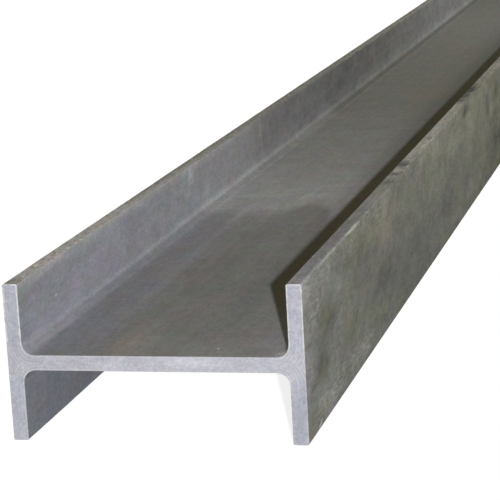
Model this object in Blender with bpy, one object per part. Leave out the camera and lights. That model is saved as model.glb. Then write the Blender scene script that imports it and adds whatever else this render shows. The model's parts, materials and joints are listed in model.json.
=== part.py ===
"""Heavy steel H-beam, one rolled length of stock.

It lies as it would on a level floor, on the toes of its two flanges, with the web level between them. X runs
across the section from flange to flange, Y along the length, and Z up. The origin is on the floor, under the
middle of the beam.
"""

import math

import bpy

# Section, in metres. The depth is measured over both flanges, which stand upright here.
SECTION_DEPTH = 0.310
FLANGE_WIDTH = 0.165
FLANGE_THICKNESS = 0.016
WEB_THICKNESS = 0.016
ROOT_RADIUS = 0.013
TOE_RADIUS = 0.0015

# The length that the stock is sold in.
STOCK_LENGTH = 6.0

# How many straight facets stand for a quarter turn of each round.
ROOT_FACETS = 8
TOE_FACETS = 3


def clear_scene():
    for thing in list(bpy.data.objects):
        bpy.data.objects.remove(thing, do_unlink=True)


def arc(centre, radius, start, end, facets):
    """Points on a circle between two angles in degrees, both ends among them."""
    angles = [math.radians(start + (end - start) * i / facets) for i in range(facets + 1)]
    return [(centre[0] + radius * math.cos(a), centre[1] + radius * math.sin(a)) for a in angles]


def quarter_outline():
    """The upper right quarter of the section, from the flange's outer face over its toe and down to the web."""
    outer_face = SECTION_DEPTH / 2
    inner_face = outer_face - FLANGE_THICKNESS
    toe_face = FLANGE_WIDTH / 2
    web_face = WEB_THICKNESS / 2
    toe = min(TOE_RADIUS, FLANGE_THICKNESS / 2)
    root = min(ROOT_RADIUS, toe_face - toe - web_face)
    outer_toe = arc((outer_face - toe, toe_face - toe), toe, 0, 90, TOE_FACETS)
    inner_toe = arc((inner_face + toe, toe_face - toe), toe, 90, 180, TOE_FACETS)
    root_fillet = arc((inner_face - root, web_face + root), root, 0, -90, ROOT_FACETS)
    return outer_toe + inner_toe + root_fillet


def section_outline():
    """The whole H, as four mirrored quarters taken anticlockwise from the right flange."""
    quarter = quarter_outline()
    back = quarter[::-1]
    upper_left = [(-x, y) for x, y in back]
    lower_left = [(-x, -y) for x, y in quarter]
    lower_right = [(x, -y) for x, y in back]
    return quarter + upper_left + lower_left + lower_right


def rolled_length(name, outline, length):
    """A bar of this section, drawn along Y, with its lowest edge on the floor."""
    curve = bpy.data.curves.new(name, "CURVE")
    curve.dimensions = "2D"
    curve.fill_mode = "BOTH"
    curve.extrude = length / 2
    spline = curve.splines.new("POLY")
    spline.points.add(len(outline) - 1)
    for point, (x, y) in zip(spline.points, outline):
        point.co = (x, y, 0, 1)
    spline.use_cyclic_u = True
    bar = bpy.data.objects.new(name, curve)
    bar.rotation_euler = (math.pi / 2, 0, 0)
    bar.location = (0, 0, -min(y for _, y in outline))
    return bar


def mill_finish_steel():
    """Bare rolled steel under a thin, dull grey oxide."""
    material = bpy.data.materials.new("mill finish steel")
    material.use_nodes = True
    shader = material.node_tree.nodes["Principled BSDF"]
    shader.inputs["Base Color"].default_value = (0.19, 0.19, 0.18, 1)
    shader.inputs["Metallic"].default_value = 0.6
    shader.inputs["Roughness"].default_value = 0.5
    return material


def main():
    clear_scene()
    beam = rolled_length("h_beam", section_outline(), STOCK_LENGTH)
    beam.data.materials.append(mill_finish_steel())
    collection = bpy.data.collections.new("H-beam")
    bpy.context.scene.collection.children.link(collection)
    collection.objects.link(beam)


main()
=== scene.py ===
"""The steel H-beam of the frame, dressed as it lies in the photograph.

The beam is modelled again from a block, with its section taken from the frame, so that its toes can carry the
wobble, hollows and nicks of handled stock. X runs across the section, Y along the beam and Z up. The end that
faces the camera is the one at the lowest Y.
"""

import json
import math

import bmesh
import bpy
from mathutils import Matrix, Vector


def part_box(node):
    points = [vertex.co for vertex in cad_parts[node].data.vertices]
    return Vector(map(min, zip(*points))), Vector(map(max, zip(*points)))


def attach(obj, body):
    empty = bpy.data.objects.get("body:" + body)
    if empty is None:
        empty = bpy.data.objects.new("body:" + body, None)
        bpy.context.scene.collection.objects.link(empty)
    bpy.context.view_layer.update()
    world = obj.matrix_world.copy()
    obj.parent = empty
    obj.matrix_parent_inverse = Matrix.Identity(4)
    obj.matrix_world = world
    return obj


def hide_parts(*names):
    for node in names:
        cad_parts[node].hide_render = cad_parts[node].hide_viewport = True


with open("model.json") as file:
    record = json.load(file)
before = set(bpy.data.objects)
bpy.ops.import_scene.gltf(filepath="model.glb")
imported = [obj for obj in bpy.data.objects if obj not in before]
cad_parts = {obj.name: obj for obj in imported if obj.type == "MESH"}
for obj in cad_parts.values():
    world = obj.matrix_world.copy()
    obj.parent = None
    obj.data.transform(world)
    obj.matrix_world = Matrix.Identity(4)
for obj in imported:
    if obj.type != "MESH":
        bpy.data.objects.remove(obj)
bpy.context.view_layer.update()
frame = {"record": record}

# Section and ends, from the frame, in metres.
LOW, HIGH = (Vector(corner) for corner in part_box("h_beam"))
MOUNTS = {mount["name"]: Vector(mount["pos_m"]) for mount in frame["record"]["mounts"]}
WEB_TOP = MOUNTS["web_upper_face"].z
WEB_BOTTOM = MOUNTS["web_lower_face"].z
WEB_LEVEL = (WEB_TOP + WEB_BOTTOM) / 2
OUTER = HIGH.x
INNER = 2 * MOUNTS["right_toe_rest"].x - OUTER
TOE = HIGH.z
TOE_HEIGHT = TOE - WEB_LEVEL
NEAR_END = LOW.y
FAR_END = HIGH.y
LENGTH = FAR_END - NEAR_END

# Rounds that the frame's record doesn't state.
ROOT_RADIUS = 0.013
TOE_RADIUS = 0.0015
SAWN_ARRIS = 0.0005

# The stretch that the photograph shows is divided more finely than the rest.
FINE_LENGTH = 2.4
FINE_STEP = 0.008
COARSE_STEP = 0.040
MOST_PIECES_AT_ONCE = 99

ROOT_SEGMENTS = 8
TOE_SEGMENTS = 3
SMOOTH_ANGLE = math.radians(35)

# Values this near count as the same, and an edge runs along the beam if it is longer than this that way.
SAME = 1e-5
SHORTEST_RUN = 0.01

# A face looks along an axis if this much of its normal does. An arris counts with its sawn end.
FACING = 0.9
FACING_WITH_ARRIS = 0.5

TOE_WOBBLE = 0.0006
TOE_WOBBLE_SIZE = 0.05

# Hollows knocked into the upper toes: place across and along from the near end, reach both ways, depth.
# Each is cut by a squashed ball, whose half height is this many times the hollow's depth.
HALF_HEIGHT_OF_BALL = 4
BALL_SEGMENTS = 40
BALL_RINGS = 24
HOLLOWS = [
    (0.150, 0.547, 0.011, 0.015, 0.0015),
    (0.148, 0.602, 0.009, 0.014, 0.0017),
    (0.148, 0.670, 0.011, 0.026, 0.0018),
    (0.149, 0.868, 0.005, 0.010, 0.0008),
    (0.147, 1.208, 0.014, 0.018, 0.0012),
    (0.146, 1.265, 0.013, 0.026, 0.0016),
    (0.146, 1.328, 0.014, 0.034, 0.0018),
    (0.1545, 0.318, 0.002, 0.012, 0.0007),
    (0.1400, 0.158, 0.002, 0.005, 0.0008),
    (-0.1545, 0.260, 0.002, 0.010, 0.0005),
    (-0.147, 0.185, 0.002, 0.004, 0.0004),
    (0.146, 2.30, 0.015, 0.040, 0.0010),
    (-0.148, 3.10, 0.016, 0.050, 0.0012),
    (0.150, 4.40, 0.012, 0.030, 0.0010),
]


# Modelling

def deselect_all():
    bpy.ops.object.select_all(action="DESELECT")


def choose(piece):
    deselect_all()
    piece.select_set(True)
    bpy.context.view_layer.objects.active = piece


def edit(piece):
    choose(piece)
    bpy.ops.object.mode_set(mode="EDIT")


def leave_edit():
    bpy.ops.object.mode_set(mode="OBJECT")


def pick(kind, test):
    """Selects the faces, edges or verts of the mesh being edited that pass a test, and nothing else."""
    mode = {"verts": "VERT", "edges": "EDGE", "faces": "FACE"}[kind]
    bpy.ops.mesh.select_mode(type=mode)
    bpy.ops.mesh.select_all(action="DESELECT")
    mesh = bmesh.from_edit_mesh(bpy.context.edit_object.data)
    for element in getattr(mesh, kind):
        if test(element):
            element.select_set(True)
    mesh.select_flush_mode()
    bmesh.update_edit_mesh(bpy.context.edit_object.data)


def near(a, b):
    return abs(a - b) < SAME


def lengthwise(edge):
    start, end = (vert.co for vert in edge.verts)
    return near(start.x, end.x) and near(start.z, end.z) and abs(start.y - end.y) > SHORTEST_RUN


def extrude(x=0.0, z=0.0):
    bpy.ops.mesh.extrude_region_move(TRANSFORM_OT_translate={"value": (x, 0, z)})


def apply_modifier(piece, kind, **settings):
    choose(piece)
    modifier = piece.modifiers.new(kind.title(), kind)
    for name, value in settings.items():
        setattr(modifier, name, value)
    bpy.ops.object.modifier_apply(modifier=modifier.name)


def rolled_section(name):
    """The web as a block, with the flanges drawn out of its sides and every round of the section."""
    deselect_all()
    bpy.ops.mesh.primitive_cube_add(size=1, location=(0, (NEAR_END + FAR_END) / 2, WEB_LEVEL))
    beam = bpy.context.object
    beam.name = beam.data.name = name
    beam.scale = (2 * INNER, LENGTH, WEB_TOP - WEB_BOTTOM)
    bpy.ops.object.transform_apply(location=True, rotation=True, scale=True)
    edit(beam)
    for side in (-1, 1):
        pick("faces", lambda face: face.normal.x * side > FACING)
        extrude(x=side * (OUTER - INNER))
    for side in (-1, 1):
        pick("faces", lambda face: face.normal.z * side > FACING
             and abs(face.calc_center_median().x) > INNER)
        extrude(z=side * (TOE - WEB_TOP))
    pick("faces", lambda face: abs(face.normal.y) > FACING)
    bpy.ops.mesh.dissolve_faces()
    pick("edges", lambda edge: lengthwise(edge) and near(abs(edge.verts[0].co.x), INNER)
         and near(abs(edge.verts[0].co.z - WEB_LEVEL), WEB_TOP - WEB_LEVEL))
    bpy.ops.mesh.bevel(offset=ROOT_RADIUS, segments=ROOT_SEGMENTS, affect="EDGES")
    pick("edges", lambda edge: lengthwise(edge) and near(abs(edge.verts[0].co.z - WEB_LEVEL), TOE_HEIGHT))
    bpy.ops.mesh.bevel(offset=TOE_RADIUS, segments=TOE_SEGMENTS, affect="EDGES")
    pick("edges", lambda edge: all(near(vert.co.y, NEAR_END) for vert in edge.verts)
         or all(near(vert.co.y, FAR_END) for vert in edge.verts))
    bpy.ops.mesh.bevel(offset=SAWN_ARRIS, segments=1, affect="EDGES")
    leave_edit()
    return beam


def divide_stretch(start, end, step):
    """Cuts the edges that run along the beam between two places into steps."""
    def inside(edge):
        return lengthwise(edge) and all(start - SAME < vert.co.y < end + SAME for vert in edge.verts)

    wanted = round((end - start) / step)
    while wanted > 1:
        counts = range(min(wanted, MOST_PIECES_AT_ONCE), 0, -1)
        pieces = next(count for count in counts if wanted % count == 0)
        pick("edges", inside)
        bpy.ops.mesh.subdivide(number_cuts=pieces - 1)
        wanted //= pieces


def divide_lengthwise(beam):
    edge_of_fine = NEAR_END + FINE_LENGTH
    edit(beam)
    bpy.ops.mesh.select_all(action="SELECT")
    bpy.ops.mesh.bisect(plane_co=(0, edge_of_fine, 0), plane_no=(0, 1, 0))
    divide_stretch(NEAR_END, edge_of_fine, FINE_STEP)
    divide_stretch(edge_of_fine, FAR_END, COARSE_STEP)
    leave_edit()


def wobble_toes(beam):
    """Makes the toes sink and rise a little along the beam, as rolled edges do."""
    toes = beam.vertex_groups.new(name="toes")
    lowest = TOE_HEIGHT - TOE_RADIUS / 2
    at_toe = [vert.index for vert in beam.data.vertices if abs(vert.co.z - WEB_LEVEL) > lowest]
    toes.add(at_toe, 1.0, "REPLACE")
    clouds = bpy.data.textures.new("rolled edge", "CLOUDS")
    clouds.noise_scale = TOE_WOBBLE_SIZE
    clouds.noise_depth = 2
    apply_modifier(beam, "DISPLACE", texture=clouds, texture_coords="LOCAL", direction="NORMAL",
                   vertex_group=toes.name, mid_level=1.0, strength=TOE_WOBBLE)


def knock_hollows(beam):
    """Cuts the upper toes with squashed balls, one for each hollow."""
    deselect_all()
    balls = []
    for across, along, reach_across, reach_along, depth in HOLLOWS:
        half_height = HALF_HEIGHT_OF_BALL * depth
        share = math.sqrt(1 - (1 - depth / half_height) ** 2)
        bpy.ops.mesh.primitive_uv_sphere_add(
            segments=BALL_SEGMENTS, ring_count=BALL_RINGS, radius=1,
            location=(across, NEAR_END + along, TOE + half_height - depth),
            scale=(reach_across / share, reach_along / share, half_height),
        )
        balls.append(bpy.context.object)
    for ball in balls:
        ball.select_set(True)
    bpy.context.view_layer.objects.active = balls[0]
    bpy.ops.object.join()
    bpy.ops.object.transform_apply(location=True, rotation=True, scale=True)
    cutter = bpy.context.object
    apply_modifier(beam, "BOOLEAN", operation="DIFFERENCE", object=cutter, solver="EXACT")
    bpy.data.objects.remove(cutter)


def dress_ends(beam, sawn_slot):
    """Gives the sawn ends and their arrises the material in this slot."""
    for face in beam.data.polygons:
        if abs(face.normal.y) > FACING_WITH_ARRIS:
            face.material_index = sawn_slot


# Materials

ROLLED_ROUGHNESS = 0.85
SAWN_ROUGHNESS = 0.8
SPECULAR = 0.08
BLACK = (0, 0, 0, 1)
WHITE = (1, 1, 1, 1)

MIX = "ShaderNodeMix"
VECTOR_MATH = "ShaderNodeVectorMath"


class Wire:
    """A socket of a material's nodes. Arithmetic on it adds Math nodes."""

    def __init__(self, socket):
        self.socket = socket
        self.tree = socket.id_data

    def node(self, kind, settings=None, sockets=None, output=0):
        """Adds a node: its settings first, then the values or links of its sockets. Returns one output."""
        made = self.tree.nodes.new(kind)
        for name, value in (settings or {}).items():
            if name == "stops":
                for position, _ in value[:-2]:
                    made.color_ramp.elements.new(position)
                for element, (position, colour) in zip(made.color_ramp.elements, value):
                    element.position = position
                    element.color = colour
            else:
                setattr(made, name, value)
        for key, value in (sockets or {}).items():
            if isinstance(value, Wire):
                self.tree.links.new(value.socket, made.inputs[key])
            else:
                made.inputs[key].default_value = value
        return Wire(made.outputs[output])

    def math(self, operation, *others):
        return self.node("ShaderNodeMath", {"operation": operation}, dict(enumerate((self, *others))))

    def __add__(self, other):
        return self.math("ADD", other)

    def __radd__(self, other):
        return self.math("ADD", other)

    def __sub__(self, other):
        return self.math("SUBTRACT", other)

    def __rsub__(self, other):
        return self.math("MULTIPLY", -1) + other

    def __mul__(self, other):
        return self.math("MULTIPLY", other)

    def __rmul__(self, other):
        return self.math("MULTIPLY", other)

    def ramp(self, low, high):
        """0 at low, 1 at high, and smooth between. High may be the lower number. A smooth step stays within 0
        and 1 by itself. The renderer has few places for one material's values, and a clamp would take one."""
        return self.node("ShaderNodeMapRange", {"interpolation_type": "SMOOTHSTEP", "clamp": False},
                         {"Value": self, "From Min": low, "From Max": high})

    def mix(self, without, full):
        """This much of one colour over another."""
        return self.node(MIX, {"data_type": "RGBA"}, {0: self, 6: without, 7: full}, output=2)

    def scaled(self, factor):
        """This colour, lighter or darker."""
        return self.node(MIX, {"data_type": "RGBA", "clamp_factor": False},
                         {0: factor, 6: BLACK, 7: self}, output=2)

    def tinted(self, amount, tint):
        """This colour, multiplied by this much of a tint."""
        return self.node(MIX, {"data_type": "RGBA", "blend_type": "MULTIPLY"},
                         {0: amount, 6: self, 7: tint}, output=2)


def shade(level, blue=1.0, red=1.0):
    """A grey of the steel, leaning to blue or red by the ratios given."""
    return (level * red, level, level * blue, 1)


class Place:
    """Where a point lies on the beam, in one material's nodes. Along is from the near end, across is from the
    middle of the section, and above is from the web's middle, up or down."""

    def __init__(self, tree):
        coordinates = tree.nodes.new("ShaderNodeTexCoord")
        self.point = Wire(coordinates.outputs["Object"])
        self.x = self.coordinate(0)
        self.along = self.coordinate(1) - NEAR_END
        self.z = self.coordinate(2)
        self.across = self.x.math("ABSOLUTE")
        self.above = (self.z - WEB_LEVEL).math("ABSOLUTE")
        self.on_right = self.x.ramp(-0.02, 0.02)
        self.up = self.z.ramp(WEB_LEVEL - 0.004, WEB_LEVEL + 0.004)

    def coordinate(self, axis):
        return self.point.node("ShaderNodeSeparateXYZ", sockets={0: self.point}, output=axis)

    def noise(self, sizes, detail=3.0, roughness=0.5, shift=0.0):
        """Clouds about 0, seldom past 1 or -1, with blotches of these sizes in metres along X, Y and Z."""
        mapped = self.point.node("ShaderNodeMapping", sockets={
            "Vector": self.point, "Location": (shift, shift, shift), "Scale": [1 / size for size in sizes]})
        cloud = mapped.node("ShaderNodeTexNoise", sockets={
            "Vector": mapped, "Scale": 1.0, "Detail": detail, "Roughness": roughness})
        return (cloud - 0.5) * 4

    def spot(self, centre, reach, edge=0.0):
        """1 at a place on the beam, falling to 0 at its reach along X, Y and Z. It stays 1 up to the share of
        the reach that edge gives. The centre's Y is from the near end."""
        middle = (centre[0], NEAR_END + centre[1], centre[2])
        per_metre = [1 / size for size in reach]
        offset = self.point.node(VECTOR_MATH, {"operation": "SUBTRACT"}, {0: self.point, 1: middle})
        share = offset.node(VECTOR_MATH, {"operation": "MULTIPLY"}, {0: offset, 1: per_metre})
        distance = share.node(VECTOR_MATH, {"operation": "LENGTH"}, {0: share}, output=1)
        return distance.ramp(1.0, edge)

    def streak(self, start, end, width):
        """1 along the line between two places on the beam, falling to 0 at this distance from it and at its
        ends. The places' Y is from the near end."""
        first = Vector((start[0], NEAR_END + start[1], start[2]))
        run = Vector((end[0], NEAR_END + end[1], end[2])) - first
        offset = self.point.node(VECTOR_MATH, {"operation": "SUBTRACT"}, {0: self.point, 1: first})
        share = offset.node(VECTOR_MATH, {"operation": "DOT_PRODUCT"},
                            {0: offset, 1: run / run.length_squared}, output=1)
        share = share.node("ShaderNodeClamp", sockets={0: share})
        nearest = share.node(VECTOR_MATH, {"operation": "SCALE"}, {0: run, 3: share})
        away = offset.node(VECTOR_MATH, {"operation": "DISTANCE"}, {0: offset, 1: nearest}, output=1)
        return away.ramp(width, 0.15 * width) * (share * (1 - share)).ramp(0.0, 0.12)

    def total(self, marks):
        """Streaks and specks added up, each with its strength."""
        added = 0
        for strength, mark in marks:
            added = strength * mark + added
        return added

    def tones(self, stops):
        """A colour that changes along the beam, from (metres from the near end, colour) pairs."""
        stops = [(y / LENGTH, colour) for y, colour in stops]
        return self.along.node("ShaderNodeValToRGB", {"stops": stops}, {0: self.along * (1 / LENGTH)})


def dull_metal(name):
    """A new material, with its shader and its Place."""
    made = bpy.data.materials.new(name)
    made.use_nodes = True
    shader = made.node_tree.nodes["Principled BSDF"]
    shader.inputs["Specular IOR Level"].default_value = SPECULAR
    return made, shader, Place(made.node_tree)


def connect(wire, socket):
    wire.tree.links.new(wire.socket, socket)


def roughen(shader, height, strength, distance):
    """Raises and sinks the surface by a height, as fine relief that isn't in the mesh."""
    sockets = {"Strength": strength, "Distance": distance, "Height": height}
    connect(height.node("ShaderNodeBump", sockets=sockets), shader.inputs["Normal"])


def web_colour(place):
    """The web: stained darker up to a tide mark, dusty past it, dull grey further on, and painted shadow by
    one flange.
    """
    dark = place.tones([
        (0.00, shade(0.246, 1.05, 0.985)), (0.10, shade(0.214, 1.02, 0.99)), (0.30, shade(0.198, 1.00, 0.99)),
        (0.80, shade(0.190, 1.00, 0.99)),
    ])
    dusty = place.tones([
        (0.00, shade(0.285)), (0.85, shade(0.300, 1.02, 0.99)), (1.05, shade(0.246, 1.01, 0.99)),
        (1.35, shade(0.207, 0.97, 0.995)), (1.70, shade(0.174, 0.93, 1.00)), (2.20, shade(0.172, 0.91, 1.00)),
        (3.00, shade(0.205, 0.93)), (3.70, shade(0.170, 0.92)), (4.60, shade(0.215, 0.97)),
        (5.30, shade(0.180, 0.92)), (6.00, shade(0.215, 0.97)),
    ])
    hump = (place.x - 0.004).math("ABSOLUTE").ramp(0.036, 0.002)
    drop = 2.5 * (place.x - 0.028).math("MAXIMUM", 0)
    past_mark = place.along - 0.055 * hump + drop + 0.016 * place.noise((0.02, 0.04, 0.02), 4, 0.6)
    colour = past_mark.ramp(0.692, 0.775).mix(dark, dusty)
    faded = past_mark.ramp(0.56, 0.78) * place.x.ramp(0.00, -0.07)
    colour = (0.4 * faded).mix(colour, dusty)
    rim = past_mark.ramp(0.735, 0.765) * past_mark.ramp(0.815, 0.770) * place.x.ramp(0.02, -0.03)
    colour = colour.scaled(1 + 0.048 * rim)
    by_left_flange = place.x.ramp(-0.045, -0.10) * place.along.ramp(0.95, 0.3)
    colour = (0.8 * by_left_flange).mix(colour, shade(0.228, 1.20, 0.965))
    purple = place.x.ramp(-0.092, -0.104) * place.x.ramp(-0.130, -0.116) * place.along.ramp(0.05, 0.30)
    colour = (purple * place.along.ramp(0.76, 0.64)).mix(colour, shade(0.206, 1.11, 1.00))
    by_right_flange = place.x.ramp(0.010, 0.042) * place.along.ramp(0.05, 0.35)
    colour = (by_right_flange * (0.4 + 0.4 * place.along.ramp(0.6, 0.75))).mix(colour, colour.scaled(0.70))
    far_right = place.x.ramp(-0.030, 0.025) * place.along.ramp(0.7, 1.8)
    colour = far_right.mix(colour, colour.scaled(0.88))
    stained = place.noise((0.04, 0.07, 0.04), 3, 0.6, shift=41).ramp(-0.1, 0.7) * place.along.ramp(0.9, 0.2)
    colour = (0.35 * stained).mix(colour, (0.218, 0.200, 0.184, 1))
    broken = place.noise((0.014, 0.022, 0.014), 3, 0.6, shift=5).ramp(-0.7, 0.3)
    rust = place.spot((-0.034, 0.060, WEB_TOP), (0.032, 0.095, 0.02)) * (0.5 + 0.5 * broken)
    colour = (0.85 * rust).mix(colour, (0.312, 0.282, 0.264, 1))
    by_corner = place.spot((0.134, 0.014, WEB_TOP + 0.002), (0.022, 0.032, 0.014))
    colour = (0.8 * by_corner).mix(colour, shade(0.285, 1.06, 0.99))
    far_rust = place.spot((0.000, 1.820, WEB_TOP), (0.060, 0.160, 0.02)) * broken
    colour = (0.5 * far_rust).mix(colour, (0.190, 0.162, 0.124, 1))
    # Painted shadow: the strip of web in the right flange's cast shadow from the low sun, drawn darker and
    # browner, and darker still further along.
    painted_shadow_mask = (place.along - 3.4 * (INNER - place.x)).ramp(0.0, 0.04) * place.x.ramp(0.046, 0.056)
    painted_shadow_colour = place.along.ramp(0.9, 1.5).mix((0.196, 0.172, 0.120, 1), (0.168, 0.157, 0.092, 1))
    return (0.7 * painted_shadow_mask).mix(colour, painted_shadow_colour)


def wall_colour(place):
    """The flanges' inner faces: pale blue-grey near the end, dull and dark further on."""
    upper = place.tones([
        (0.00, shade(0.284, 1.18, 0.98)), (0.20, shade(0.293, 1.18, 0.985)), (0.42, shade(0.262, 1.13, 0.99)),
        (0.62, shade(0.268, 1.09, 0.99)), (0.90, shade(0.230, 1.06)), (1.02, shade(0.212, 1.03)),
        (1.10, shade(0.172, 1.04)), (1.35, shade(0.146, 1.03)), (1.75, shade(0.116, 1.00)),
        (2.20, shade(0.140, 0.96)), (3.00, shade(0.205, 1.02)), (3.80, shade(0.160, 0.99)),
        (4.70, shade(0.220, 1.05)), (5.40, shade(0.175, 1.0)), (6.00, shade(0.230, 1.05)),
    ])
    lower = place.tones([
        (0.00, shade(0.219, 1.15, 0.935)), (0.08, shade(0.203, 1.14, 0.95)), (0.18, shade(0.174, 1.12, 0.97)),
        (0.35, shade(0.185, 1.10, 0.98)), (0.80, shade(0.200, 1.08, 0.99)),
        (2.00, shade(0.175, 1.02)), (3.60, shade(0.210, 1.04)), (4.80, shade(0.170, 1.00)),
        (6.00, shade(0.215, 1.06)),
    ])
    cool = place.noise((0.025, 0.05, 0.02), 3, 0.6, shift=47).ramp(-0.2, 0.7) * place.along.ramp(1.2, 0.5)
    upper = (0.55 * cool).mix(upper, shade(0.262, 1.08, 0.89))
    by_toe = place.above.ramp(TOE_HEIGHT - 0.015, TOE_HEIGHT - 0.002) * place.along.ramp(1.15, 0.75)
    dusted = place.along.ramp(0.6, 0.3).mix(shade(0.320, 1.05, 0.99), shade(0.355, 1.09, 0.99))
    upper = (0.8 * by_toe).mix(upper, dusted)
    green_corner = place.spot((-INNER, 0.015, 0.156), (0.01, 0.050, 0.020))
    upper = (0.7 * green_corner).mix(upper, shade(0.265, 0.96, 0.93))
    blue_patch = place.spot((-INNER, 0.678, 0.118), (0.01, 0.050, 0.016))
    upper = (0.6 * blue_patch).mix(upper, shade(0.255, 1.20, 0.93))
    return place.up.mix(lower, upper)


def outer_colour(place):
    """The flanges' outer faces: olive grey, paler and yellower towards the toe."""
    low = place.tones([
        (0.00, shade(0.244, 1.01, 0.99)), (0.04, shade(0.216, 1.00, 0.99)), (0.10, shade(0.205, 0.99, 0.98)),
        (0.25, shade(0.175, 0.94, 0.98)), (0.50, shade(0.143, 0.93, 0.98)), (0.80, shade(0.138, 0.92, 0.98)),
        (1.20, shade(0.141, 0.89, 0.99)), (1.60, shade(0.140, 0.79)),
        (2.40, shade(0.185, 0.91)), (3.40, shade(0.150, 0.90)), (4.50, shade(0.195, 0.94)),
        (6.00, shade(0.190, 0.95)),
    ])
    high = place.tones([
        (0.00, shade(0.282, 0.98, 0.99)), (0.05, shade(0.226, 0.97, 0.99)), (0.12, shade(0.208, 0.95, 0.98)),
        (0.30, shade(0.186, 0.89, 0.98)), (0.80, shade(0.200, 0.84, 0.98)), (1.20, shade(0.203, 0.81, 0.99)),
        (1.45, shade(0.190, 0.76)), (1.60, shade(0.156, 0.72)), (2.40, shade(0.190, 0.86)),
        (3.40, shade(0.160, 0.88)), (4.50, shade(0.205, 0.92)), (6.00, shade(0.200, 0.95)),
    ])
    colour = place.z.ramp(0.055, 0.145).mix(low, high)
    warm = place.noise((0.05, 0.11, 0.032), 3, 0.6, shift=53).ramp(0.1, 0.8)
    colour = (0.3 * warm).mix(colour, (0.225, 0.206, 0.182, 1))
    olive = place.noise((0.05, 0.14, 0.035), 3, 0.6, shift=59).ramp(0.0, 0.7)
    colour = (0.5 * olive).mix(colour, (0.158, 0.168, 0.118, 1))
    slate = place.noise((0.05, 0.16, 0.04), 3, 0.6, shift=67).ramp(0.1, 0.8) * place.along.ramp(0.3, 0.6)
    colour = (0.6 * slate).mix(colour, (0.150, 0.148, 0.150, 1))
    warm_patch = place.spot((OUTER, 0.466, 0.123), (0.01, 0.10, 0.030))
    colour = (0.5 * warm_patch).mix(colour, (0.235, 0.200, 0.165, 1))
    olive_patch = place.total([
        (0.50, place.spot((OUTER, 0.360, 0.138), (0.01, 0.12, 0.024))),
        (0.45, place.spot((OUTER, 0.090, 0.060), (0.01, 0.07, 0.034))),
        (0.40, place.spot((OUTER, 0.115, 0.102), (0.01, 0.06, 0.034))),
        (0.40, place.spot((OUTER, 0.240, 0.058), (0.01, 0.09, 0.030))),
    ])
    return olive_patch.mix(colour, (0.190, 0.196, 0.128, 1))


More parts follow.
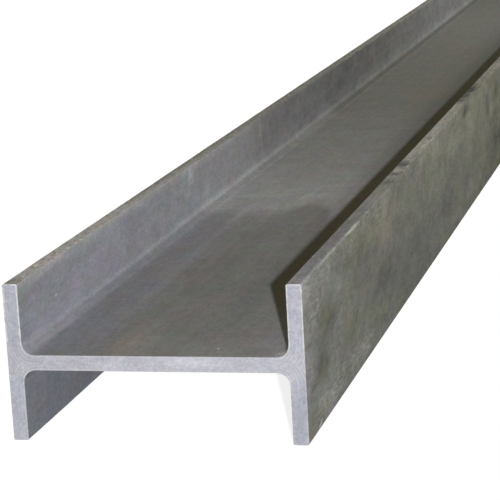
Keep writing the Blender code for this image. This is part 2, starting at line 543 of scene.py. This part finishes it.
def toe_colour(place):
    """The toes: speckled brown rust near the end on one side, grey with wear on the other, darker over its
    hollowed stretch as painted shade.
    """
    left = place.tones([
        (0.00, shade(0.314, 1.04, 1.01)), (0.18, shade(0.322, 1.02, 1.02)), (0.38, shade(0.302, 1.02, 1.02)),
        (0.46, shade(0.252, 0.99, 1.01)), (0.80, shade(0.190, 0.94, 1.00)), (1.20, shade(0.150, 0.92, 1.00)),
        (1.80, shade(0.150, 0.90)), (3.00, shade(0.210, 0.90, 1.05)), (6.00, shade(0.200, 0.92, 1.03)),
    ])
    speckle = place.noise((0.004, 0.010, 0.004), 3, 0.7, shift=61)
    rusty = place.along.ramp(0.48, 0.38)
    left = (rusty * speckle.ramp(0.0, 0.6)).mix(left, (0.213, 0.170, 0.146, 1))
    left = (rusty * speckle.ramp(-0.25, -0.75)).mix(left, (0.47, 0.45, 0.43, 1))
    # A pale line along the left toe's inner edge near the end: wear with a painted highlight, where that edge
    # faces the low sun.
    by_inner_edge = place.across.ramp(0.1425, 0.1400) * place.noise((0.01, 0.05, 0.01), 3, 0.6, shift=89)
    by_inner_edge = by_inner_edge.ramp(0.0, 0.6) * place.along.ramp(0.24, 0.14)
    left = by_inner_edge.mix(left, (0.310, 0.318, 0.255, 1))
    outer_half = place.across.ramp(0.1450, 0.1515) * place.along.ramp(0.34, 0.52)
    left = (0.60 * outer_half).mix(left, (0.112, 0.102, 0.078, 1))
    flecks = place.along.ramp(0.40, 0.60) * place.noise((0.004, 0.022, 0.004), 3, 0.7, shift=71)
    left = (flecks.ramp(0.15, 0.75)).mix(left, (0.270, 0.250, 0.200, 1))
    left = (flecks.ramp(-0.15, -0.75)).mix(left, (0.090, 0.084, 0.068, 1))
    stipple = place.along.ramp(0.25, 0.50) * place.noise((0.0022, 0.009, 0.0022), 2, 0.7, shift=103)
    left = left.scaled(1 + 0.45 * stipple)
    left = (0.6 * place.along.ramp(0.040, 0.015)).mix(left, (0.135, 0.138, 0.098, 1))
    right = place.tones([
        (0.00, shade(0.216, 1.07, 1.00)), (0.05, shade(0.196, 1.05, 1.00)), (0.12, shade(0.153, 1.01, 1.00)),
        (0.25, shade(0.140, 0.99, 1.01)), (0.45, shade(0.184, 0.93, 1.01)), (0.64, shade(0.194, 0.93, 1.01)),
        (0.71, shade(0.268, 0.92, 1.01)), (1.00, shade(0.272, 0.91, 1.01)), (1.18, shade(0.256, 0.90, 1.01)),
        (1.205, shade(0.138, 0.90, 1.01)), (1.26, shade(0.118, 0.90, 1.01)), (1.33, shade(0.098, 0.90, 1.02)),
        (1.37, shade(0.120, 0.90, 1.01)), (1.41, shade(0.192, 0.87, 1.01)),
        (1.60, shade(0.210, 0.88, 1.01)), (2.20, shade(0.220, 0.90, 1.01)),
        (4.00, shade(0.180, 0.92, 1.01)), (6.00, shade(0.205, 0.94, 1.01)),
    ])
    # Over the hollowed stretch the right toe is darker, in the tones above and here: painted shade, where the
    # toe slopes away from the light.
    in_hollows = place.along.ramp(1.19, 1.22) * place.along.ramp(1.42, 1.37)
    right = (0.7 * in_hollows * place.across.ramp(0.1505, 0.1440)).mix(right, right.scaled(0.55))
    rounded_off = in_hollows * (place.across + 0.002 * speckle).ramp(0.1465, 0.1495)
    right = (0.9 * rounded_off).mix(right, (0.160, 0.157, 0.120, 1))
    pitted = 0.27 * place.noise((0.004, 0.018, 0.004), 3, 0.7, shift=97)
    pitted = pitted + 0.17 * place.noise((0.009, 0.050, 0.009), 3, 0.6, shift=101)
    right = right.scaled(1 + pitted)
    flakes = place.total([
        (1.00, place.spot((-0.1412, 0.172, TOE), (0.0028, 0.0070, 0.002), 0.5)),
        (0.50, place.spot((-0.1405, 0.198, TOE), (0.0022, 0.0060, 0.002), 0.5)),
        (0.95, place.spot((-0.1405, 0.216, TOE), (0.0026, 0.0065, 0.002), 0.5)),
        (0.70, place.spot((-0.1480, 0.086, TOE), (0.0024, 0.008, 0.002), 0.4)),
        (0.50, place.spot((-0.1430, 0.139, TOE), (0.0020, 0.006, 0.002), 0.4)),
        (0.80, place.spot((0.1395, 0.126, TOE), (0.0018, 0.005, 0.002), 0.4)),
        (0.70, place.spot((0.1550, 0.070, TOE), (0.0018, 0.005, 0.002), 0.4)),
    ])
    return flakes.mix(place.on_right.mix(left, right), (0.64, 0.61, 0.59, 1))


def marks_on_web(place):
    """Lengthwise scuffs across the tide mark, a dark smear beside them and pale specks by the end."""
    chipped = place.noise((0.0025, 0.007, 0.0025), 2, 0.7, shift=83).ramp(0.1, 0.8)
    chips = 3.2 * chipped * place.spot((0.133, 0.016, WEB_TOP + 0.002), (0.014, 0.024, 0.012), 0.4)
    return chips + place.total([
        (0.07, place.streak((-0.076, 0.10, WEB_TOP), (-0.084, 0.52, WEB_TOP), 0.012)),
        (0.08, place.streak((-0.086, 0.42, WEB_TOP), (-0.083, 0.80, WEB_TOP), 0.010)),
        (0.17, place.spot((-0.087, 0.695, WEB_TOP), (0.008, 0.070, 0.010))),
        (0.14, place.spot((-0.047, 0.715, WEB_TOP), (0.014, 0.070, 0.010))),
        (0.10, place.streak((-0.026, 0.80, WEB_TOP), (-0.010, 0.93, WEB_TOP), 0.008)),
        (-0.06, place.streak((-0.040, 0.20, WEB_TOP), (-0.020, 0.72, WEB_TOP), 0.022)),
        (0.05, place.streak((-0.030, 0.15, WEB_TOP), (-0.036, 0.60, WEB_TOP), 0.008)),
        (-0.07, place.streak((-0.075, 1.42, WEB_TOP), (0.010, 1.44, WEB_TOP), 0.020)),
        (1.60, place.spot((0.059, 0.032, WEB_TOP), (0.0015, 0.0030, 0.0020), 0.4)),
        (0.45, place.spot((0.133, 0.012, WEB_TOP + 0.002), (0.014, 0.024, 0.012), 0.2)),
        (-0.10, place.spot((0.104, 0.020, WEB_TOP), (0.016, 0.030, 0.012))),
    ])


def marks_on_wall(place):
    """A pale smear, a small chip and fine upright scratches on the inner face of one flange."""
    wall = -INNER
    return place.total([
        (0.36, place.spot((wall, 0.672, 0.1500), (0.010, 0.024, 0.0180))),
        (0.16, place.streak((wall, 0.668, 0.1640), (wall, 0.672, 0.148), 0.0090)),
        (0.14, place.spot((wall, 0.656, 0.1300), (0.010, 0.026, 0.0160))),
        (0.12, place.spot((wall, 0.589, 0.1400), (0.010, 0.024, 0.0200))),
        (0.07, place.streak((wall, 0.748, 0.1560), (wall, 0.760, 0.104), 0.0160)),
        (-0.07, place.streak((wall, 0.715, 0.1600), (wall, 0.725, 0.110), 0.0180)),
        (0.07, place.spot((wall, 0.345, 0.1400), (0.010, 0.080, 0.0240))),
        (0.17, place.streak((wall, 1.072, 0.1620), (wall, 1.080, 0.106), 0.0120)),
        (0.10, place.streak((wall, 1.120, 0.1580), (wall, 1.124, 0.116), 0.0120)),
        (0.06, place.streak((wall, 1.025, 0.1580), (wall, 1.032, 0.120), 0.0140)),
        (0.08, place.streak((wall, 1.330, 0.1500), (wall, 1.338, 0.110), 0.0180)),
        (-0.06, place.streak((wall, 1.100, 0.1560), (wall, 1.200, 0.136), 0.0260)),
        (0.60, place.spot((wall, 0.115, 0.1255), (0.002, 0.0060, 0.0014), 0.4)),
        (-0.14, place.spot((wall, 0.104, 0.1280), (0.002, 0.0070, 0.0034), 0.2)),
        (0.12, place.streak((wall, -0.050, 0.1600), (wall, 0.160, 0.160), 0.0080)),
    ])


def marks_on_outer(place):
    """Dark runs and scuffs on the outer face of one flange, and a pale chip at its foot."""
    broken = 1 + 0.7 * place.noise((0.02, 0.05, 0.015), 3, 0.6, shift=73)
    scuffed = place.noise((0.006, 0.020, 0.006), 3, 0.65, shift=109).ramp(-0.3, 0.7)
    scuffed = 0.32 * scuffed * place.streak((OUTER, 0.660, 0.1640), (OUTER, 1.190, 0.1640), 0.014)
    patches = place.total([
        (0.30, place.spot((OUTER, 0.000, 0.156), (0.01, 0.060, 0.022))),
        (0.14, place.streak((OUTER, -0.040, 0.160), (OUTER, 0.520, 0.158), 0.014)),
        (0.20, place.spot((OUTER, 0.050, 0.130), (0.01, 0.040, 0.045))),
        (-0.12, place.spot((OUTER, 0.080, 0.090), (0.01, 0.060, 0.040))),
        (-0.34, place.spot((OUTER, 0.085, 0.058), (0.01, 0.055, 0.022))),
        (0.16, place.spot((OUTER, 0.120, 0.146), (0.01, 0.070, 0.016))),
        (-0.24, place.spot((OUTER, 0.130, 0.108), (0.01, 0.060, 0.036))),
        (-0.22, place.spot((OUTER, 0.230, 0.055), (0.01, 0.080, 0.024))),
        (-0.12, place.spot((OUTER, 0.330, 0.120), (0.01, 0.120, 0.030))),
        (0.24, place.spot((OUTER, 0.060, 0.117), (0.01, 0.035, 0.020))),
        (-0.16, place.spot((OUTER, 0.480, 0.070), (0.01, 0.260, 0.036))),
        (0.30, place.streak((OUTER, 0.030, 0.022), (OUTER, 0.380, 0.018), 0.018)),
        (0.14, place.spot((OUTER, 0.440, 0.146), (0.01, 0.100, 0.020))),
        (-0.10, place.spot((OUTER, 0.640, 0.022), (0.01, 0.200, 0.030))),
        (0.14, place.spot((OUTER, 0.700, 0.145), (0.01, 0.120, 0.024))),
        (0.08, place.spot((OUTER, 1.070, 0.130), (0.01, 0.160, 0.030))),
        (-0.30, place.spot((OUTER, 1.580, 0.040), (0.01, 0.280, 0.090))),
        (-0.12, place.streak((OUTER, 0.500, 0.000), (OUTER, 1.700, 0.000), 0.022)),
    ])
    return patches * broken + scuffed + place.total([
        (-0.34, place.spot((OUTER, 1.185, 0.154), (0.01, 0.080, 0.014))),
        (-0.20, place.spot((OUTER, 1.172, 0.148), (0.01, 0.036, 0.022))),
        (-0.44, place.spot((OUTER, 1.438, 0.122), (0.01, 0.040, 0.034))),
        (0.16, place.spot((OUTER, 1.490, 0.116), (0.01, 0.030, 0.020))),
        (-0.50, place.spot((OUTER, 1.550, 0.131), (0.01, 0.075, 0.022))),
        (0.20, place.spot((OUTER, 1.432, 0.150), (0.01, 0.035, 0.012))),
        (0.08, place.spot((OUTER, 1.370, 0.152), (0.01, 0.070, 0.020))),
        (-0.20, place.spot((OUTER, 1.330, 0.162), (0.01, 0.090, 0.010))),
        (0.08, place.streak((OUTER, 0.150, 0.0600), (OUTER, 0.160, 0.015), 0.0100)),
        (0.12, place.streak((OUTER, 0.065, 0.1450), (OUTER, 0.080, 0.110), 0.0080)),
        (1.40, place.streak((OUTER, 0.050, 0.0035), (OUTER, 0.068, 0.008), 0.0030)),
    ])


def marks_on_toes(place):
    """Painted shade in the hollows, painted highlights on their lips, and a bright scrape on one edge."""
    ragged = place.noise((0.004, 0.014, 0.004), 3, 0.65, shift=79).ramp(-0.4, 0.5)
    scraped = 0.30 * place.streak((0.1546, 0.060, TOE - 0.001), (0.1550, 0.400, TOE - 0.001), 0.0034) * ragged
    return scraped + place.total([
        # The darker spots sit on the hollows' slopes turned from the low sun, and the lighter streaks and
        # spots on slopes turned to it: painted shade and painted highlights.
        (-0.36, place.spot((0.1480, 0.542, TOE), (0.011, 0.018, 0.006), 0.4)),
        (-0.44, place.spot((0.1465, 0.598, TOE), (0.008, 0.015, 0.006), 0.4)),
        (-0.52, place.spot((0.1455, 0.668, TOE), (0.010, 0.034, 0.006), 0.4)),
        (-0.35, place.spot((0.1490, 0.866, TOE), (0.005, 0.014, 0.006), 0.4)),
        (-0.16, place.spot((0.1520, 0.745, TOE), (0.006, 0.060, 0.006), 0.3)),
        (-0.30, place.spot((0.1440, 1.262, TOE), (0.008, 0.022, 0.010), 0.4)),
        (-0.42, place.spot((0.1445, 1.330, TOE), (0.008, 0.042, 0.010), 0.4)),
        (0.30, place.streak((0.1395, 0.570, TOE), (0.1550, 0.572, TOE), 0.0120)),
        (0.46, place.streak((0.1395, 0.618, TOE), (0.1555, 0.626, TOE), 0.0130)),
        (0.40, place.spot((0.1550, 0.652, TOE - 0.001), (0.0040, 0.016, 0.0050))),
        (0.45, place.spot((0.1450, 1.238, TOE), (0.006, 0.012, 0.010), 0.2)),
        (0.35, place.spot((0.1450, 1.292, TOE), (0.008, 0.010, 0.010), 0.2)),
        (0.25, place.spot((0.1530, 1.392, TOE - 0.002), (0.005, 0.030, 0.008))),
        (0.62, place.streak((0.1545, 0.222, TOE - 0.001), (0.1550, 0.296, TOE - 0.002), 0.0040)),
    ])


def rolled_steel():
    """The rolled skin: a colour for each face, painted highlights and shade along the roots, toe edges with
    wear and painted highlight, grain and marks.
    """
    made, shader, place = dull_metal("rolled steel")
    on_wall = place.above.ramp(0.011, 0.020)
    on_outer = place.across.ramp(OUTER - 0.0012, OUTER - 0.0003)
    within = place.across.ramp(INNER, INNER + 0.0010) * place.across.ramp(OUTER - 0.0002, OUTER - 0.0012)
    on_toe = place.above.ramp(TOE_HEIGHT - 0.0060, TOE_HEIGHT - 0.0050) * within
    colour = on_wall.mix(web_colour(place), wall_colour(place))
    colour = on_outer.mix(colour, outer_colour(place))
    colour = on_toe.mix(colour, toe_colour(place))

    # Painted highlights and painted shade along the root fillets, by their height from the web's middle.
    by_end = place.along.ramp(0.18, 0.08)
    fillet_highlight = place.above.ramp(0.0190, 0.0165) * place.above.ramp(0.0138, 0.0152)
    fillet_highlight = fillet_highlight * (1 - 0.8 * by_end) * place.along.ramp(2.0, 1.4)
    band = place.above.ramp(0.0235, 0.0200) * place.above.ramp(0.0086, 0.0096) * by_end
    low_line = place.above.ramp(0.0120, 0.0105) * place.above.ramp(0.0084, 0.0094) * by_end
    foot = place.above.ramp(0.040, 0.027) * place.above.ramp(0.0160, 0.0185)
    foot = foot * (0.04 * place.along.ramp(0.6, 0.8) + 0.12 * place.along.ramp(0.9, 1.35))
    shoulder = place.above.ramp(0.0245, 0.0200) * place.above.ramp(0.0138, 0.0185)
    shoulder = shoulder * place.along.ramp(0.62, 0.78) * (1 - 0.5 * place.along.ramp(1.7, 2.0))
    further_in = place.above.ramp(0.00802, 0.0094) * place.along.ramp(1.45, 1.70)
    root_foot_shade = place.above.ramp(0.0081, 0.0102).math("MAXIMUM", further_in) * place.above.ramp(0.0150, 0.0125)
    root_foot_shade = root_foot_shade * (0.13 * place.along.ramp(0.12, 0.32) + 0.13 * place.along.ramp(0.68, 0.80)
                     - 0.10 * place.along.ramp(1.10, 1.40) + 0.26 * place.along.ramp(1.48, 1.72))
    painted_root_light = 0.10 * fillet_highlight + 0.16 * shoulder + foot + 0.08 * band + 0.06 * low_line - root_foot_shade
    colour = colour.scaled(1 + painted_root_light * (1 - on_outer))

    # Toe edges with rubbing wear, and a painted highlight along the edges that face the low sun.
    below_toe = TOE_HEIGHT - place.above
    ragged = 0.0025 * place.noise((0.01, 0.02, 0.01), 3)
    from_outer_edge = (OUTER - place.across) + below_toe + ragged
    wear_and_edge_highlight = from_outer_edge.ramp(0.005, 0.001) * place.along.ramp(0.5, 0.02) * place.up * place.on_right
    colour = (0.38 * wear_and_edge_highlight).mix(colour, shade(0.34, 1.06, 0.99))
    from_inner_edge = (place.across - INNER).math("ABSOLUTE") + below_toe + ragged
    rubbing_and_edge_highlight = from_inner_edge.ramp(0.008, 0.0) * place.along.ramp(1.2, 0.4)
    rubbing_and_edge_highlight = rubbing_and_edge_highlight * (1 - 0.8 * place.on_right) * place.up
    rubbing_and_edge_highlight = rubbing_and_edge_highlight * place.noise((0.006, 0.030, 0.006), 3, 0.65, shift=107).ramp(-0.8, 0.4)
    colour = (0.55 * rubbing_and_edge_highlight).mix(colour, shade(0.36, 1.02, 1.02))

    # Grain and clouds of tone, then the marks, and last a lean to one hue or another.
    grain = place.noise((0.003, 0.007, 0.003), 3, 0.65) * (1 - on_outer)
    coarser = 1.25 + 0.4 * place.along.ramp(0.7, 0.3)
    grain = grain + place.noise((0.003, 0.015, 0.003), 3, 0.65, shift=13) * coarser * on_outer
    mottle = place.noise((0.03, 0.07, 0.03), 4, 0.6, shift=11)
    flecked = place.noise((0.008, 0.022, 0.008), 3, 0.6, shift=27)
    blotches = place.noise((0.05, 0.13, 0.035), 4, 0.65, shift=17) * on_outer
    brushed = place.noise((0.014, 0.040, 0.020), 3, 0.6, shift=19) * on_outer
    drawn = place.noise((0.006, 0.30, 0.006), 3, 0.6, shift=23) * (1 - on_outer)
    crosswise = place.noise((0.12, 0.035, 0.05), 3, 0.6, shift=37) * (1 - on_outer)
    stained = place.noise((0.03, 0.05, 0.018), 3, 0.6, shift=39) * on_wall * place.along.ramp(1.05, 1.35)
    varied = 1 + 0.16 * grain + 0.09 * mottle + 0.10 * flecked + 0.25 * blotches + 0.13 * brushed
    varied = varied + 0.05 * drawn + 0.05 * crosswise + 0.20 * stained * (1 - on_outer)
    marks = marks_on_web(place) + marks_on_wall(place) + marks_on_outer(place) + marks_on_toes(place)
    varied = varied + marks * (1 + 0.6 * grain)
    colour = colour.scaled(varied.math("MAXIMUM", 0.15))
    for size, shift, one, other in (
            (0.025, 29, (1.038, 0.980, 1.00, 1), (0.962, 1.020, 1.00, 1)),
            (0.020, 43, (1.000, 1.000, 1.05, 1), (1.000, 1.000, 0.95, 1)),
            (0.007, 31, (1.025, 0.987, 1.02, 1), (0.975, 1.013, 0.98, 1))):
        lean = place.noise((size, 2.5 * size, size), 3, shift=shift).ramp(-0.8, 0.8)
        colour = colour.tinted(1 - 0.3 * on_outer, lean.mix(one, other))
    connect(colour, shader.inputs["Base Color"])
    connect(ROLLED_ROUGHNESS + 0.06 * mottle - 0.12 * wear_and_edge_highlight, shader.inputs["Roughness"])
    roughen(shader, grain * 0.5 + mottle + 0.5 * drawn, strength=0.4, distance=0.0002)
    return made


def sawn_steel():
    """The sawn ends: bare blue-grey metal, with burrs and a painted highlight along the edges, and lines that
    follow the section's roots.
    """
    made, shader, place = dull_metal("sawn steel")
    on_web = place.above.ramp(0.020, 0.012)
    towards_right = place.x.ramp(-0.10, 0.04) * on_web
    colour = towards_right.mix(shade(0.209, 1.125), shade(0.231, 1.12, 0.995))
    on_left = 1 - place.on_right
    colour = (on_left * (1 - on_web)).mix(colour, shade(0.199, 1.145, 0.970))
    low_right = place.on_right * (1 - on_web) * (1 - place.up)
    colour = low_right.mix(colour, shade(0.192, 1.16, 0.970))
    high_right = place.on_right * (1 - on_web) * place.up
    colour = high_right.mix(colour, shade(0.221, 1.155, 0.990))

    across = (place.across - (INNER - ROOT_RADIUS)).math("MAXIMUM", 0)
    above = (WEB_TOP - WEB_LEVEL + ROOT_RADIUS - place.above).math("MAXIMUM", 0)
    from_root = (across * across + above * above).math("SQRT")
    in_from_skin = from_root - ROOT_RADIUS
    waver = place.noise((0.014, 0.014, 0.014), 4, 0.6)
    lines = ((in_from_skin + 0.0016 * waver) * 1750).math("SINE")
    by_root = place.across.ramp(INNER - 0.030, INNER - 0.008) * place.above.ramp(0.045, 0.015)
    grain = place.noise((0.0026, 0.0026, 0.0026), 3, 0.65)
    mottle = place.noise((0.014, 0.014, 0.014), 4, 0.6, shift=7)
    frost = place.noise((0.006, 0.006, 0.006), 3, 0.65, shift=9).ramp(0.0, 0.8)
    slanted = place.noise((0.020, 0.02, 0.0022), 2, shift=13) * on_web
    coarse = place.noise((0.0055, 0.0055, 0.0055), 2, 0.6, shift=21)
    varied = 1 + 0.17 * grain + 0.10 * mottle + 0.13 * frost + 0.04 * slanted + 0.08 * coarse
    varied = varied + lines * (0.018 + 0.044 * by_root)
    varied = varied + 0.07 * place.noise((0.010, 0.010, 0.030), 3, 0.6, shift=25) * (1 - on_web)
    varied = varied + place.total([
        (0.22, place.spot((0.035, 0.0, 0.084), (0.040, 0.05, 0.009))),
        (0.12, place.spot((-0.045, 0.0, 0.080), (0.030, 0.05, 0.008))),
        (0.16, place.spot((0.140, 0.0, 0.062), (0.020, 0.05, 0.020))),
        (-0.08, place.spot((-0.150, 0.0, 0.035), (0.014, 0.05, 0.030))),
    ])
    colour = colour.scaled(varied)
    for size, shift, one, other in (
            (0.012, 33, (1.020, 0.990, 1.01, 1), (0.980, 1.010, 0.99, 1)),
            (0.010, 45, (1.000, 1.000, 1.03, 1), (1.000, 1.000, 0.97, 1))):
        lean = place.noise((size, size, size), 3, 0.6, shift=shift).ramp(-0.8, 0.8)
        colour = colour.tinted(1.0, lean.mix(one, other))

    # Pale edges of the ends: burrs, brightened as a painted highlight, most on the upper flanges' edges.
    rough_edge = 0.0012 * place.noise((0.0035, 0.0035, 0.0035), 3, 0.65, shift=15)
    from_edge = in_from_skin.math("MINIMUM", OUTER - place.across).math("MINIMUM", TOE_HEIGHT - place.above)
    burr_and_highlight = (from_edge + rough_edge).ramp(0.0022, 0.0006) * (0.25 + 0.75 * place.up * (1 - on_web))
    burr_and_highlight = burr_and_highlight * place.noise((0.010, 0.010, 0.010), 3, 0.6, shift=35).ramp(-0.8, 0.2)
    colour = burr_and_highlight.mix(colour, shade(0.340, 1.04, 1.0))
    connect(colour, shader.inputs["Base Color"])
    connect(SAWN_ROUGHNESS + 0.05 * mottle, shader.inputs["Roughness"])
    roughen(shader, grain + lines * (0.3 + by_root), strength=0.25, distance=0.0001)
    return made


# Studio

CAMERA_FROM_NEAR_END = Vector((0.5956, -1.9424, 0.6259))
CAMERA_HEADING = math.radians(14.158)
CAMERA_DIP = math.radians(12.025)
CAMERA_ROLL = math.radians(-3.22)
FOCAL_PIXELS = 2095.7
PHOTO_PIXELS = 500
SENSOR = 36.0
FARTHEST_SEEN = 100

# The two lamps: the way to each, its strength and how many degrees wide it looks.
TO_SUN = Vector((0.275, -0.936, 0.219))
SUN_STRENGTH = 2.2
SUN_WIDTH = 1.0
TO_FILL = Vector((-0.62, 0.78, 0.07))
FILL_STRENGTH = 1.2
FILL_WIDTH = 20

# The light from all round, and the floor: how white it shows, and the grey that takes the beam's shadow.
AMBIENT = 0.1
WARM = (1.0, 0.80, 0.16, 1)
FLOOR_SIZE = 80
FLOOR_GLOW = 0.85
FLOOR_GREY = 0.3


def place_camera():
    camera = bpy.data.objects.new("camera", bpy.data.cameras.new("camera"))
    camera.data.sensor_width = SENSOR
    camera.data.lens = SENSOR * FOCAL_PIXELS / PHOTO_PIXELS
    camera.data.clip_end = FARTHEST_SEEN
    place = Vector((0, NEAR_END, 0)) + CAMERA_FROM_NEAR_END
    camera.matrix_world = (
        Matrix.Translation(place)
        @ Matrix.Rotation(CAMERA_HEADING, 4, "Z")
        @ Matrix.Rotation(math.pi / 2 - CAMERA_DIP, 4, "X")
        @ Matrix.Rotation(CAMERA_ROLL, 4, "Z")
    )
    bpy.context.scene.collection.objects.link(camera)
    bpy.context.scene.camera = camera


def add_sun(name, to_sun, strength, width):
    light = bpy.data.objects.new(name, bpy.data.lights.new(name, "SUN"))
    light.data.energy = strength * math.pi
    light.data.angle = math.radians(width)
    light.rotation_euler = to_sun.to_track_quat("Z", "Y").to_euler()
    bpy.context.scene.collection.objects.link(light)


def seen_white(tree):
    """1 for the rays that show the backdrop itself: from the camera, or by way of gloss or glass."""
    rays = tree.nodes.new("ShaderNodeLightPath")
    kinds = ("Is Camera Ray", "Is Glossy Ray", "Is Transmission Ray")
    camera, glossy, clear = (Wire(rays.outputs[kind]) for kind in kinds)
    return (camera + glossy + clear).math("MINIMUM", 1)


def white_floor():
    deselect_all()
    bpy.ops.mesh.primitive_plane_add(size=FLOOR_SIZE, location=(0, 0, 0))
    floor = bpy.context.object
    floor.name = "floor"
    made = bpy.data.materials.new("pale floor")
    made.use_nodes = True
    tree = made.node_tree
    tree.nodes.remove(tree.nodes["Principled BSDF"])
    seen = seen_white(tree)
    glow = seen.node("ShaderNodeEmission", sockets={"Color": WHITE, "Strength": seen * FLOOR_GLOW})
    paint = seen.node("ShaderNodeBsdfDiffuse", sockets={"Color": (FLOOR_GREY, FLOOR_GREY, FLOOR_GREY, 1)})
    both = seen.node("ShaderNodeAddShader", sockets={0: glow, 1: paint})
    connect(both, tree.nodes["Material Output"].inputs["Surface"])
    floor.data.materials.append(made)


def surroundings():
    world = bpy.data.worlds.new("surroundings")
    bpy.context.scene.world = world
    world.use_nodes = True
    tree = world.node_tree
    background = tree.nodes["Background"]
    seen = seen_white(tree)
    connect(seen.mix(WARM, WHITE), background.inputs["Color"])
    connect(AMBIENT + (1 - AMBIENT) * seen, background.inputs["Strength"])


beam = rolled_section("rolled_beam")
divide_lengthwise(beam)
wobble_toes(beam)
knock_hollows(beam)
beam.data.materials.append(rolled_steel())
beam.data.materials.append(sawn_steel())
dress_ends(beam, sawn_slot=1)
choose(beam)
bpy.ops.object.shade_smooth_by_angle(angle=SMOOTH_ANGLE)
apply_modifier(beam, "WEIGHTED_NORMAL", keep_sharp=True)
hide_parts("h_beam")
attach(beam, "root")

place_camera()
add_sun("low sun", TO_SUN, SUN_STRENGTH, SUN_WIDTH)
add_sun("fill from behind", TO_FILL, FILL_STRENGTH, FILL_WIDTH)
white_floor()
surroundings()
bpy.context.scene.view_settings.view_transform = "Standard"
